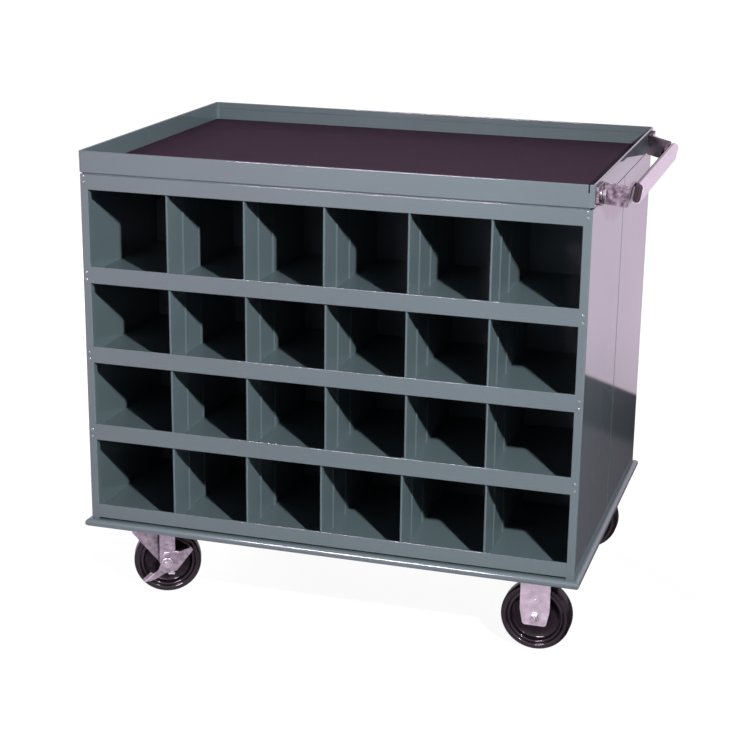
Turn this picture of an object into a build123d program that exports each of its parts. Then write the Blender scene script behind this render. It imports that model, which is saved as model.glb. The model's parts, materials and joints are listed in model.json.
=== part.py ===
from build123d import *
from math import cos, radians, sin
import os

# Mobile bin cart: two sheet-steel bin units stand back to back on a rolled base pan with
# casters, under a hemmed tray with a rubber mat, and an oval push handle hangs on the right.
# The frame has +Z up from the floor, the bins open towards -Y (front unit) and +Y (rear unit),
# the handle is at +X, and the origin is on the floor under the middle of the whole cart.

# Cabinet
cabinet_width = 857.25
unit_depth = 304.8
cabinet_height = 609.6
panel_sheet = 1.5
flange_width = 14.4
flange_bend = 1.8
flange_return = 12.5
seat_gap = 0.3
overrun = 5.0

# Front rails and the rows of bins between them, from the bottom row up
foot_gap = 3.2
rail_lip = 19.0
floor_rise = 10.0
bottom_floor_rise = 6.1
top_rail_height = 25.6
rail_hem = 8.0
rail_return = 10.0
rail_tab = 8.0
row_height_shares = (0.2522, 0.2339, 0.2354, 0.2785)

# Dividers, placed by their left edge as a share of the cabinet's width, one line for each row
divider_sheet = 1.2
divider_hem = 3.6
divider_hem_depth = 9.5
bead_width = 11.0
bead_rise = 1.6
bead_place_shares = (0.235, 0.466)
divider_place_shares = (
    (0.1803, 0.3363, 0.4906, 0.6538, 0.8202),
    (0.1799, 0.3381, 0.4989, 0.6593, 0.8172),
    (0.1788, 0.3372, 0.4980, 0.6573, 0.8161),
    (0.1767, 0.3346, 0.4943, 0.6591, 0.8156),
)

# Rivets that hold the rails behind the side flanges
rivet_radius = 1.6
rivet_head_radius = 2.5
rivet_head_height = 1.2
rivet_inset = 7.0
rivet_drop_shares = (0.362, 0.786)
top_rivet_drop_shares = (0.133, 0.508)

# Top panel, tray and mat
top_sheet = 2.4
top_inset_side = 5.0
top_inset_front = 2.5
tray_overhang = 1.8
tray_sheet = 1.5
tray_lip = 36.5
tray_hem = 11.5
tray_hem_width = 3.2
tray_bend = 2.0
tray_corner = 8.0
slot_width = 2.4
slot_depth = 13.0
slot_inset = 8.8
mat_thickness = 2.2
mat_margin = 1.0

# Base pan with a rolled nose
base_overhang = 9.0
base_height = 14.3
base_sheet = 1.9
base_return = 13.0

# Handle: an oval tube between two bent flat bars that slope down away from the tray
handle_tilt = 10.0
tube_width = 16.0
tube_height = 33.5
tube_wall = 1.6
tube_end_inset = 101.6
tube_rise = 3.6
bracket_sheet = 4.8
bracket_height = 34.0
bracket_bend = 7.0
arm_reach = 42.0
arm_splay = 15.0
arm_setback = 25.6
tab_overlap = 22.4
arm_root_height = 14.0
foot_front_setback = 26.0
foot_clip_length = 36.0
foot_clip_height = 10.0
foot_bolt_setback = 27.0
foot_bolt_height = 17.0
foot_bolt_radius = 4.76
tab_screw_radius = 3.2
tab_screw_inset = 12.0

# Hexagon fasteners
hex_across = 14.3
hex_height = 6.2
washer_radius = 12.5
washer_sheet = 1.6
small_hex_across = 11.0
small_hex_height = 4.6
join_bolt_radius = 3.1
base_bolt_depth_shares = (0.25, 0.75)

# Casters, all four with the same wheel
wheel_diameter = 120.0
wheel_width = 31.75
wheel_edge = 4.0
hub_stand = 2.325
hub_radius = 17.0
web_thickness = 10.0
rim_step = 3.0
groove_depth = 1.5
bushing_radius = 7.94
axle_radius = 4.76
running_gap = 0.06
rim_inner_share = 0.74
ridge_share = 0.80
groove_share = 0.87
shoulder_share = 0.93
fork_sheet = 3.0
wheel_clearance = 24.4
plate_length = 101.6
plate_width = 114.3
plate_sheet = 3.5
plate_corner = 9.0
plate_bolt_inset_x = 12.7
plate_bolt_inset_y = 11.1
plate_bolt_radius = 4.0
rigid_plate_inset_x = 21.65
rigid_plate_inset_y = 11.85
swivel_plate_inset_x = 19.2
swivel_plate_inset_y = 21.85

# Rigid fork legs
rigid_leg_width = 51.0
rigid_leg_tip_width = 40.0
rigid_leg_shoulder = 15.0
rigid_leg_drop = 13.0
rigid_leg_corner = 5.5
dimple_height = 33.0
dimple_radius = 2.2
dimple_taper = 30.0

# Swivel head, its legs and the brake lever
swivel_heading = 22.0
swivel_trail = 35.0
head_gap = 5.5
race_radius = 21.0
race_ring_width = 4.0
race_ring_drop = 3.0
ball_count = 16
ball_diameter = 5.2
kingpin_radius = 6.35
kingpin_head_radius = 10.0
kingpin_head_height = 2.0
kingpin_nut_across = 19.0
kingpin_nut_height = 8.0
leg_strip_width = 27.5
leg_strip_rise = 1.5
leg_lead_reach = 61.0
leg_lead_height = 57.0
leg_lead_slope_share = 0.3
lever_sheet = 2.5
lever_flange = 11.0
lever_flange_inset_share = 0.08
lever_hub_radius = 12.0
lever_tang_clearance = 1.45
lever_tang_offset = 4.0
lever_tang_width = 8.0
lever_tang_sheet = 2.4
lever_outline_shares = (
    (-0.93, -0.82), (-0.45, -0.68), (-0.11, -0.45), (0.36, -0.34), (0.61, -0.02),
    (1.04, 0.55), (0.95, 0.68), (0.41, 0.48), (0.09, 0.48), (-0.16, 0.43),
    (-0.25, 0.07), (-0.36, -0.27), (-0.54, -0.45),
)
lever_length = 44.0

# Casters: sizes that follow
hub_length = wheel_width + 2 * hub_stand
fork_inner_width = hub_length + 2 * seat_gap
caster_height = wheel_diameter + wheel_clearance + fork_sheet + head_gap + plate_sheet
plate_bolt_x = plate_length - 2 * plate_bolt_inset_x
plate_bolt_y = plate_width - 2 * plate_bolt_inset_y
rigid_inset_x = rigid_plate_inset_x + plate_length / 2
rigid_inset_y = rigid_plate_inset_y + plate_width / 2
swivel_inset_x = swivel_plate_inset_x + plate_length / 2
swivel_inset_y = swivel_plate_inset_y + plate_width / 2
lever_tang_radius = leg_strip_width / 2 + lever_tang_clearance

# Places that follow from the sizes above
tube_centre_reach = arm_reach + tube_width / 2
tilt = radians(handle_tilt)
tube_straight = tube_height - tube_width
tube_half_x = tube_width / 2 + tube_straight / 2 * sin(tilt)
tube_offset = tube_centre_reach * cos(tilt) + tube_rise * sin(tilt)
handle_reach = tray_overhang + tube_offset + tube_half_x
cart_length = base_overhang + cabinet_width + handle_reach
cabinet_left = base_overhang - cart_length / 2
cabinet_right = cabinet_left + cabinet_width
cabinet_middle = (cabinet_left + cabinet_right) / 2
base_top = caster_height + base_sheet
cabinet_top = base_top + cabinet_height
tray_bottom = cabinet_top + top_sheet
tray_top = tray_bottom + tray_lip
tray_left = cabinet_left - tray_overhang
tray_right = cabinet_right + tray_overhang
tray_front = -unit_depth - tray_overhang
tube_length = 2 * (unit_depth - tube_end_inset)
arm_end_y = tube_end_inset - arm_setback
arm_root_y = arm_end_y - arm_splay
tab_end_y = tube_end_inset + tab_overlap
foot_bolt_y = arm_root_y - foot_bolt_setback
foot_front_y = foot_bolt_y - foot_front_setback
foot_bolt_places = (-unit_depth + foot_bolt_y, unit_depth - foot_bolt_y)
tab_screw_y = tube_length / 2 - tab_screw_inset
arm_frame = Plane(
    origin=(tray_right, 0, tray_bottom + arm_root_height),
    x_dir=(cos(tilt), 0, -sin(tilt)),
    z_dir=(sin(tilt), 0, cos(tilt)),
)

panel_bend = 2 * panel_sheet
rail_sheet = panel_sheet
rail_height = rail_lip + floor_rise
bottom_rail_height = rail_lip + bottom_floor_rise
inner_row_height = (
    cabinet_height - foot_gap - bottom_rail_height - top_rail_height - 3 * rail_height
)
join_inset = (flange_width + panel_sheet) / 2
base_bolt_depths = [share * unit_depth for share in base_bolt_depth_shares]

wheel_radius = wheel_diameter / 2
mount_height = caster_height - wheel_radius
leg_inner = fork_inner_width / 2
leg_outer = leg_inner + fork_sheet
crown_top = caster_height - plate_sheet - head_gap
crown_low = crown_top - fork_sheet - wheel_radius
leg_lead_top = leg_lead_reach + (crown_low - leg_lead_height) * leg_lead_slope_share
race_seat_radius = race_radius + ball_diameter / 2 + seat_gap


def rail_places():
    """Bottom and top of each front rail above the base sheet, from the bottom rail up."""
    places = []
    low = foot_gap
    heights = [bottom_rail_height] + [rail_height] * (len(row_height_shares) - 1)
    for height, share in zip(heights, row_height_shares):
        places.append((low, low + height))
        low = low + height + share * inner_row_height
    places.append((low, low + top_rail_height))
    return places


rails = rail_places()
floors = [top - rail_lip for bottom, top in rails[:-1]]
ceilings = [floor - panel_sheet for floor in floors[1:]] + [cabinet_height - panel_sheet]
join_heights = [(low[1] + high[0]) / 2 for low, high in zip(rails[:-1], rails[1:])]


def unit_frame(rear):
    """Corner of a bin unit as its user sees it: X to the right, Y into the bins, Z up."""
    if rear:
        return Plane(origin=(cabinet_right, unit_depth, base_top), x_dir=(-1, 0, 0), z_dir=(0, 0, 1))
    return Plane(origin=(cabinet_left, -unit_depth, base_top), x_dir=(1, 0, 0), z_dir=(0, 0, 1))


def across(frame, x):
    """Sketch plane square to the frame's X: its own x is the frame's Y and its y is up."""
    origin = frame.from_local_coords((x, 0, 0))
    return Plane(origin=origin, x_dir=frame.y_dir, z_dir=frame.x_dir)


def facing(frame, y):
    """Sketch plane that faces the user at depth y: its x is the frame's X and its y is up."""
    origin = frame.from_local_coords((0, y, 0))
    return Plane(origin=origin, x_dir=frame.x_dir, z_dir=-frame.y_dir)


def block(frame, low, high, mode=Mode.ADD):
    """A block between two corners of a frame."""
    with BuildSketch(frame.offset(low[2])) as outline:
        with Locations(((low[0] + high[0]) / 2, (low[1] + high[1]) / 2)):
            Rectangle(high[0] - low[0], high[1] - low[1])
    extrude(outline.sketch, amount=high[2] - low[2], mode=mode)


def bent_strip(plane, points, radius, thickness, height, side=Side.LEFT):
    """A strip of sheet bent along points, its thickness to one side of them."""
    with BuildSketch(plane) as outline:
        with BuildLine():
            FilletPolyline(*points, radius=radius)
            offset(amount=thickness, side=side)
        make_face()
    extrude(outline.sketch, amount=height)


def hexagon(across_flats):
    """A hexagon by the distance across its flats."""
    RegularPolygon(radius=across_flats / 2, side_count=6, major_radius=False)


# Bin units


def side_panel(frame, right):
    """Side with flanges bent in all round; the front one returns into the bins between the rails."""
    sign = -1 if right else 1
    outer = cabinet_width if right else 0
    tip = outer + sign * flange_width
    points = [(tip, flange_return), (tip, 0), (outer, 0), (outer, unit_depth), (tip, unit_depth)]
    bends = [flange_bend, panel_bend, panel_bend]
    with BuildPart() as panel:
        bent_strip(
            frame, points, bends, panel_sheet, cabinet_height, Side.LEFT if right else Side.RIGHT
        )
        inner = outer + sign * panel_sheet
        notch = sorted((inner, tip + sign * panel_sheet))
        corner = sorted((tip - sign * flange_bend, tip))
        for low, high in rails:
            bottom = low - seat_gap if low > foot_gap else 0
            top = high + seat_gap if high < cabinet_height else cabinet_height
            block(
                frame, (notch[0], panel_sheet, bottom), (notch[1], flange_return + overrun, top),
                Mode.SUBTRACT,
            )
            block(frame, (corner[0], 0, bottom), (corner[1], panel_sheet, top))
        near = 2 * panel_sheet + rivet_head_height
        far = unit_depth - 2 * panel_sheet
        left, right_edge = sorted((inner, tip))
        for low in (0, cabinet_height - panel_sheet):
            block(frame, (left, near, low), (right_edge, far, low + panel_sheet))
        rivet_holes(frame, right)
        join_holes(frame, right)
    return panel.part


def rivet_spots():
    """Heights of the rivets at one end of the rails above the base sheet."""
    spots = []
    for bottom, top in rails[1:-1]:
        spots += [top - share * (top - bottom) for share in rivet_drop_shares]
    bottom, top = rails[-1]
    return spots + [top - share * (top - bottom) for share in top_rivet_drop_shares]


def rivet_x(right):
    """Distance of a rivet column from the unit's left edge."""
    return cabinet_width - rivet_inset if right else rivet_inset


def rivet_holes(frame, right):
    """Holes through a front flange or a rail's tab behind it."""
    with BuildSketch(facing(frame, 2 * panel_sheet + overrun)) as outline:
        with Locations([(rivet_x(right), z) for z in rivet_spots()]):
            Circle(rivet_radius)
    extrude(outline.sketch, amount=2 * panel_sheet + 2 * overrun, mode=Mode.SUBTRACT)


def join_holes(frame, right):
    """Bolt holes in a side's rear flange and in its bottom flange."""
    x = cabinet_width - join_inset if right else join_inset
    with BuildSketch(facing(frame, unit_depth + overrun)) as outline:
        with Locations([(x, z) for z in join_heights]):
            Circle(join_bolt_radius)
    extrude(outline.sketch, amount=2 * panel_sheet + overrun, mode=Mode.SUBTRACT)
    with BuildSketch(frame.offset(-overrun)) as outline:
        with Locations([(x, y) for y in base_bolt_depths]):
            Circle(join_bolt_radius)
    extrude(outline.sketch, amount=2 * overrun, mode=Mode.SUBTRACT)


def back_panel(frame):
    """Flat back sheet behind the bins, inside the rear flanges."""
    with BuildPart() as panel:
        low = (panel_bend, unit_depth - 2 * panel_sheet, 0)
        high = (cabinet_width - panel_bend, unit_depth - panel_sheet, cabinet_height)
        block(frame, low, high)
        with BuildSketch(facing(frame, unit_depth)):
            columns = (join_inset, cabinet_width - join_inset)
            with Locations([(x, z) for x in columns for z in join_heights]):
                Circle(join_bolt_radius)
        extrude(amount=2 * panel_sheet + overrun, mode=Mode.SUBTRACT)
    return panel.part


def top_panel(frame):
    """Top sheet, set in from the edges so that a shadow gap runs under the tray."""
    with BuildPart() as panel:
        low = (top_inset_side, top_inset_front, cabinet_height)
        high = (cabinet_width - top_inset_side, unit_depth, cabinet_height + top_sheet)
        block(frame, low, high)
    return panel.part


def front_rail(frame, bottom, top, is_top, is_bottom):
    """Rail with a hemmed upper edge, a return below, and tabs behind the side flanges."""
    first = flange_width
    last = cabinet_width - first
    with BuildSketch(across(frame, first)) as outline:
        with BuildLine():
            depth = rail_return
            if is_top:
                Polyline(
                    (0, bottom), (depth, bottom), (depth, bottom + rail_sheet),
                    (rail_sheet, bottom + rail_sheet), (rail_sheet, top - rail_sheet),
                    (depth, top - rail_sheet), (depth, top), (0, top), close=True,
                )
            else:
                Polyline(
                    (0, bottom), (depth, bottom), (depth, bottom + rail_sheet),
                    (rail_sheet, bottom + rail_sheet), (rail_sheet, top - rail_hem),
                    (2 * rail_sheet, top - rail_hem), (2 * rail_sheet, top), (0, top), close=True,
                )
        make_face()
    extrude(outline.sketch, amount=last - first)
    tab_start = panel_bend
    for near, far in ((tab_start, first + rail_tab), (last - rail_tab, cabinet_width - tab_start)):
        tab_bottom = bottom + rail_sheet
        tab_top = top - rail_sheet if is_top else top
        block(frame, (near, rail_sheet, tab_bottom), (far, 2 * rail_sheet, tab_top))


def rail_set(frame):
    """The five front rails of a unit."""
    with BuildPart() as rail_parts:
        for index, (bottom, top) in enumerate(rails):
            front_rail(frame, bottom, top, index == len(rails) - 1, index == 0)
        edges = rail_parts.edges().filter_by(Axis.X)
        outer = edges.filter_by(lambda e: abs(frame.to_local_coords(e.center()).Y) < 0.1 * rail_sheet)
        fillet(outer, radius=rail_sheet / 2)
        for right in (False, True):
            rivet_holes(frame, right)
    return rail_parts.part


def shelf(frame, index):
    """Bin floor with a down-turned edge against the rail and one against the back sheet."""
    floor = floors[index]
    foot = rails[index][0] + rail_sheet
    front = rail_sheet
    back = unit_depth - 2 * panel_sheet
    points = [(front, foot), (front, floor), (back, floor), (back, foot)]
    with BuildPart() as pan:
        width = cabinet_width - 2 * panel_sheet
        bent_strip(across(frame, panel_sheet), points, panel_sheet, panel_sheet, width, Side.RIGHT)
        tab_end = flange_width + rail_tab + 2 * seat_gap
        for near, far in ((0, tab_end), (cabinet_width - tab_end, cabinet_width)):
            high = (far, 2 * rail_sheet + rivet_head_height, cabinet_height)
            block(frame, (near, 0, 0), high, Mode.SUBTRACT)
    return pan.part


def divider(frame, x, row):
    """Upright sheet with a folded front edge and two beads pressed out to the right."""
    bottom = floors[row]
    top = ceilings[row]
    front = 2 * rail_sheet
    back = unit_depth - 2 * panel_sheet
    with BuildSketch(frame.offset(bottom)) as outline:
        with Locations((x + divider_sheet / 2, (front + back) / 2)):
            Rectangle(divider_sheet, back - front)
        with Locations((x + divider_hem / 2, front + divider_hem_depth / 2)):
            Rectangle(divider_hem, divider_hem_depth)
        fillet(outline.vertices().group_by(Axis.Y)[0], radius=0.4 * divider_hem)
        for face, mode in ((x + divider_sheet, Mode.ADD), (x, Mode.SUBTRACT)):
            for share in bead_place_shares:
                y = front + share * (back - front)
                with BuildLine():
                    Polyline(
                        (face, y - bead_width / 2), (face + bead_rise, y - bead_rise),
                        (face + bead_rise, y + bead_rise), (face, y + bead_width / 2), close=True,
                    )
                make_face(mode=mode)
    extrude(outline.sketch, amount=top - bottom)
    rail_bottom = rails[row + 1][0]
    for near, far in ((0, rail_return + seat_gap), (back - panel_sheet - seat_gap, back + overrun)):
        high = (x + bead_width, far, cabinet_height)
        block(frame, (x - bead_width, near, rail_bottom), high, Mode.SUBTRACT)


def divider_row(frame, rows):
    """The dividers of one or more rows."""
    with BuildPart() as row_part:
        for row in rows:
            for share in divider_place_shares[row]:
                divider(frame, share * cabinet_width, row)
    return row_part.part


def rivet_set(frame):
    """Dome rivets through the side flanges and the rails' tabs."""
    with BuildPart() as rivets:
        grip = 2 * panel_sheet
        spots = [(rivet_x(right), z) for right in (False, True) for z in rivet_spots()]
        with BuildSketch(facing(frame, grip)):
            with Locations(spots):
                Circle(rivet_radius)
        extrude(amount=grip)
        with BuildSketch(facing(frame, grip + rivet_head_height / 2)):
            with Locations(spots):
                Circle(rivet_head_radius)
        extrude(amount=rivet_head_height / 2)
        with BuildSketch(facing(frame, 0)):
            with Locations(spots):
                Circle(rivet_head_radius)
        extrude(amount=rivet_head_height)
        crowns = rivets.edges().filter_by(GeomType.CIRCLE)
        crowns = crowns.filter_by(
            lambda e: abs(frame.to_local_coords(e.center()).Y + rivet_head_height) < rivet_radius / 10
        )
        fillet(crowns, radius=0.9 * rivet_head_height)
    return rivets.part


# Tray


def tray():
    """Tray with upright hemmed lips, a small bend below and a slot beside three corners."""
    length = cabinet_width + 2 * tray_overhang
    width = 2 * (unit_depth + tray_overhang)
    centre = (cabinet_middle, 0)
    with BuildPart() as pan:
        with BuildSketch(Plane.XY.offset(tray_bottom)):
            with Locations(centre):
                RectangleRounded(length, width, tray_corner)
        extrude(amount=tray_lip)
        fillet(pan.faces().sort_by(Axis.Z)[0].edges(), radius=tray_bend)
        with BuildSketch(Plane.XY.offset(tray_bottom + tray_sheet)):
            with Locations(centre):
                RectangleRounded(
                    length - 2 * tray_sheet, width - 2 * tray_sheet, tray_corner - tray_sheet
                )
        extrude(amount=tray_lip, mode=Mode.SUBTRACT)
        with BuildSketch(Plane.XY.offset(tray_top - tray_hem)):
            with Locations(centre):
                RectangleRounded(
                    length - 2 * tray_sheet, width - 2 * tray_sheet, tray_corner - tray_sheet
                )
                RectangleRounded(
                    length - 2 * tray_hem_width, width - 2 * tray_hem_width,
                    tray_corner - tray_hem_width, mode=Mode.SUBTRACT,
                )
        extrude(amount=tray_hem)
        rim = pan.faces().sort_by(Axis.Z)[-1]
        fillet(rim.edges(), radius=0.4 * tray_hem_width)
        slot_places = (
            (tray_right - slot_inset, tray_front),
            (tray_left + slot_width / 2, tray_front),
            (tray_left + slot_width / 2, -tray_front),
        )
        with BuildSketch(Plane.XY.offset(tray_top - slot_depth)):
            with Locations(slot_places):
                Rectangle(slot_width, 2 * tray_hem_width + slot_width)
        extrude(amount=slot_depth + overrun, mode=Mode.SUBTRACT)
        with BuildSketch(Plane.YZ.offset(tray_right - tray_hem_width - overrun)):
            with Locations([(y, tray_bottom + foot_bolt_height) for y in foot_bolt_places]):
                Circle(foot_bolt_radius)
        extrude(amount=tray_hem_width + 2 * overrun, mode=Mode.SUBTRACT)
    return pan.part


def mat():
    """Rubber mat laid in the tray."""
    length = cabinet_width + 2 * (tray_overhang - tray_sheet - mat_margin)
    width = 2 * (unit_depth + tray_overhang - tray_sheet - mat_margin)
    with BuildPart() as sheet:
        with BuildSketch(Plane.XY.offset(tray_bottom + tray_sheet)):
            with Locations((cabinet_middle, 0)):
                RectangleRounded(length, width, tray_corner - tray_sheet)
        extrude(amount=mat_thickness)
    return sheet.part


# Base pan


def nose_slab(inset):
    """Slab with a half-round nose on all four sides, shrunk by inset, mitred at its corners."""
    height = base_height - 2 * inset
    length = cabinet_width + 2 * (base_overhang - inset)
    width = 2 * (unit_depth + base_overhang - inset)
    middle = base_top - base_height / 2
    along = Plane(origin=(cabinet_middle - length / 2, 0, middle), x_dir=(0, 1, 0), z_dir=(1, 0, 0))
    side = Plane(origin=(cabinet_middle, width / 2, middle), x_dir=(1, 0, 0), z_dir=(0, -1, 0))
    with BuildPart() as slab:
        with BuildSketch(along):
            SlotOverall(width, height)
        extrude(amount=length)
        with BuildSketch(side):
            SlotOverall(length, height)
        extrude(amount=width, mode=Mode.INTERSECT)
    return slab.part


def base_pan():
    """Base sheet whose edges roll down and back under, open below for the casters."""
    outer = nose_slab(0)
    inner = nose_slab(base_sheet)
    opening_length = cabinet_width + 2 * (base_overhang - base_return)
    opening_width = 2 * (unit_depth + base_overhang - base_return)
    with BuildPart() as pan:
        add(outer)
        add(inner, mode=Mode.SUBTRACT)
        with BuildSketch(Plane.XY.offset(base_top - base_height - overrun)):
            with Locations((cabinet_middle, 0)):
                Rectangle(opening_length, opening_width)
        extrude(amount=base_height / 2 + overrun, mode=Mode.SUBTRACT)
        with BuildSketch(Plane.XY.offset(caster_height - overrun)):
            with Locations(caster_bolt_spots()):
                Circle(plate_bolt_radius)
        extrude(amount=2 * overrun, mode=Mode.SUBTRACT)
        with BuildSketch(Plane.XY.offset(caster_height - overrun)):
            with Locations(base_bolt_spots()):
                Circle(join_bolt_radius)
        extrude(amount=2 * overrun, mode=Mode.SUBTRACT)
    return pan.part


def caster_spots():
    """Plan places of the caster plates: the rigid pair first, then the swivel pair."""
    rigid_x = cabinet_right - rigid_inset_x
    rigid_y = unit_depth - rigid_inset_y
    swivel_x = cabinet_left + swivel_inset_x
    swivel_y = unit_depth - swivel_inset_y
    return [(rigid_x, -rigid_y), (rigid_x, rigid_y), (swivel_x, -swivel_y), (swivel_x, swivel_y)]


def caster_bolt_spots():
    """Plan places of all the caster bolts."""
    return [
        (x + i * plate_bolt_x / 2, y + j * plate_bolt_y / 2)
        for x, y in caster_spots() for i in (-1, 1) for j in (-1, 1)
    ]


def base_bolt_spots():
    """Plan places of the bolts that hold the units to the base sheet."""
    columns = (cabinet_left + join_inset, cabinet_right - join_inset)
    depths = [unit_depth - y for y in base_bolt_depths]
    return [(x, side * y) for x in columns for y in depths for side in (-1, 1)]


def hex_bolt(plane, radius, grip, head_across, head_height, nut_across, nut_height, washer=0):
    """Bolt along a plane's normal: head below the plane, nut past the grip, washer if given."""
    start = washer_sheet + running_gap if washer else 0
    with BuildSketch(plane.offset(-start - head_height)) as outline:
        hexagon(head_across)
    extrude(outline.sketch, amount=head_height)
    with BuildSketch(plane.offset(-start)) as outline:
        Circle(radius)
    extrude(outline.sketch, amount=start + grip)
    if nut_height:
        with BuildSketch(plane.offset(grip)) as outline:
            hexagon(nut_across)
            Circle(radius + running_gap, mode=Mode.SUBTRACT)
        extrude(outline.sketch, amount=nut_height)
        with BuildSketch(plane.offset(grip)) as outline:
            Circle(radius)
        extrude(outline.sketch, amount=nut_height + radius / 3)
    if washer:
        with BuildSketch(plane.offset(-washer_sheet)) as outline:
            Circle(washer)
            Circle(radius + running_gap, mode=Mode.SUBTRACT)
        extrude(outline.sketch, amount=washer_sheet)


def caster_bolt_set():
    """Bolts up through the caster plates and the base sheet, with nuts on top."""
    with BuildPart() as bolts:
        for x, y in caster_bolt_spots():
            plane = Plane((x, y, caster_height - plate_sheet))
            hex_bolt(
                plane, plate_bolt_radius, plate_sheet + base_sheet,
                small_hex_across, small_hex_height, small_hex_across, small_hex_height,
            )
    return bolts.part


def base_bolt_set():
    """Bolts down through the units' bottom flanges and the base sheet."""
    with BuildPart() as bolts:
        for x, y in base_bolt_spots():
            plane = Plane(origin=(x, y, base_top + panel_sheet), x_dir=(1, 0, 0), z_dir=(0, 0, -1))
            hex_bolt(
                plane, join_bolt_radius, panel_sheet + base_sheet,
                small_hex_across, small_hex_height, small_hex_across, small_hex_height,
            )
    return bolts.part


def unit_bolt_set():
    """Bolts through both units' back sheets and rear flanges, along the middle of the cart."""
    with BuildPart() as bolts:
        for x in (cabinet_left + join_inset, cabinet_right - join_inset):
            for z in join_heights:
                origin = (x, -2 * panel_sheet, base_top + z)
                plane = Plane(origin=origin, x_dir=(1, 0, 0), z_dir=(0, 1, 0))
                hex_bolt(
                    plane, join_bolt_radius, 4 * panel_sheet,
                    small_hex_across, small_hex_height, small_hex_across, small_hex_height,
                )
    return bolts.part


# Handle


def handle_bracket(rear):
    """Flat bar: a foot on the tray's side, an arm that slopes out and down, a tab on the tube."""
    with BuildPart() as bracket:
        points = [
            (-overrun, -unit_depth + arm_root_y - overrun / 2),
            (0, -unit_depth + arm_root_y),
            (arm_reach, -unit_depth + arm_end_y),
            (arm_reach, -unit_depth + tab_end_y),
        ]
        bent_strip(
            arm_frame.offset(-bracket_height / 2), points, bracket_bend, bracket_sheet,
            bracket_height,
        )
        low = (tray_right - 4 * overrun, -unit_depth, tray_bottom - overrun)
        high = (tray_right, 0, tray_top + 4 * overrun)
        block(Plane.XY, low, high, Mode.SUBTRACT)
        foot_low = tray_bottom + arm_root_height - bracket_height / 2
        foot_high = foot_low + bracket_height
        foot_back = -unit_depth + arm_root_y + bracket_sheet / 2
        with BuildSketch(Plane.YZ.offset(tray_right)):
            with BuildLine():
                Polyline(
                    (-unit_depth + foot_front_y, foot_high),
                    (-unit_depth + foot_front_y, foot_low + foot_clip_height),
                    (-unit_depth + foot_front_y + foot_clip_length, foot_low),
                    (foot_back, foot_low), (foot_back, foot_high), close=True,
                )
            make_face()
        extrude(amount=bracket_sheet)
        bolt_plane = Plane.YZ.offset(tray_right - overrun)
        with BuildSketch(bolt_plane):
            with Locations((foot_bolt_places[0], tray_bottom + foot_bolt_height)):
                Circle(foot_bolt_radius)
        extrude(amount=bracket_sheet + 2 * overrun, mode=Mode.SUBTRACT)
        with BuildSketch(across(arm_frame, arm_reach + overrun)):
            with Locations((-tab_screw_y, tube_rise)):
                Circle(tab_screw_radius)
        extrude(amount=-2 * overrun - bracket_sheet, mode=Mode.SUBTRACT)
        if rear:
            mirror(about=Plane.XZ, mode=Mode.REPLACE)
    return bracket.part


def handle_tube():
    """Oval tube, open at both ends, tilted with its arms."""
    plane = Plane(
        origin=arm_frame.from_local_coords((tube_centre_reach, -tube_length / 2, tube_rise)),
        x_dir=arm_frame.z_dir, z_dir=(0, 1, 0),
    )
    with BuildPart() as tube:
        with BuildSketch(plane):
            SlotOverall(tube_height, tube_width)
            SlotOverall(tube_height - 2 * tube_wall, tube_width - 2 * tube_wall, mode=Mode.SUBTRACT)
        extrude(amount=tube_length)
        with BuildSketch(across(arm_frame, arm_reach - overrun)):
            with Locations((tab_screw_y, tube_rise), (-tab_screw_y, tube_rise)):
                Circle(tab_screw_radius)
        extrude(amount=overrun + tube_width / 2, mode=Mode.SUBTRACT)
    return tube.part


def handle_bolt_set():
    """Foot bolts through the tray's lip, each with a washer outside and a nut inside."""
    with BuildPart() as bolts:
        for y in foot_bolt_places:
            origin = (tray_right + bracket_sheet, y, tray_bottom + foot_bolt_height)
            plane = Plane(origin=origin, x_dir=(0, 1, 0), z_dir=(-1, 0, 0))
            hex_bolt(
                plane, foot_bolt_radius, bracket_sheet + tray_sheet,
                hex_across, hex_height, hex_across, hex_height, washer_radius,
            )
    return bolts.part


def handle_screw_set():
    """Screws that fix the tube to the brackets' tabs."""
    with BuildPart() as screws:
        for y in (tab_screw_y, -tab_screw_y):
            origin = arm_frame.from_local_coords((arm_reach - bracket_sheet, y, tube_rise))
            plane = Plane(origin=origin, x_dir=arm_frame.y_dir, z_dir=arm_frame.x_dir)
            hex_bolt(
                plane, tab_screw_radius, bracket_sheet + 3 * tube_wall,
                small_hex_across, small_hex_height, 0, 0,
            )
    return screws.part


# Casters


def hub_frame(x, y, heading):
    """Wheel centre: X along the caster's heading, Y along the axle, Z up."""
    angle = radians(heading)
    return Plane(origin=(x, y, wheel_radius), x_dir=(cos(angle), sin(angle), 0), z_dir=(0, 0, 1))


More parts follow.
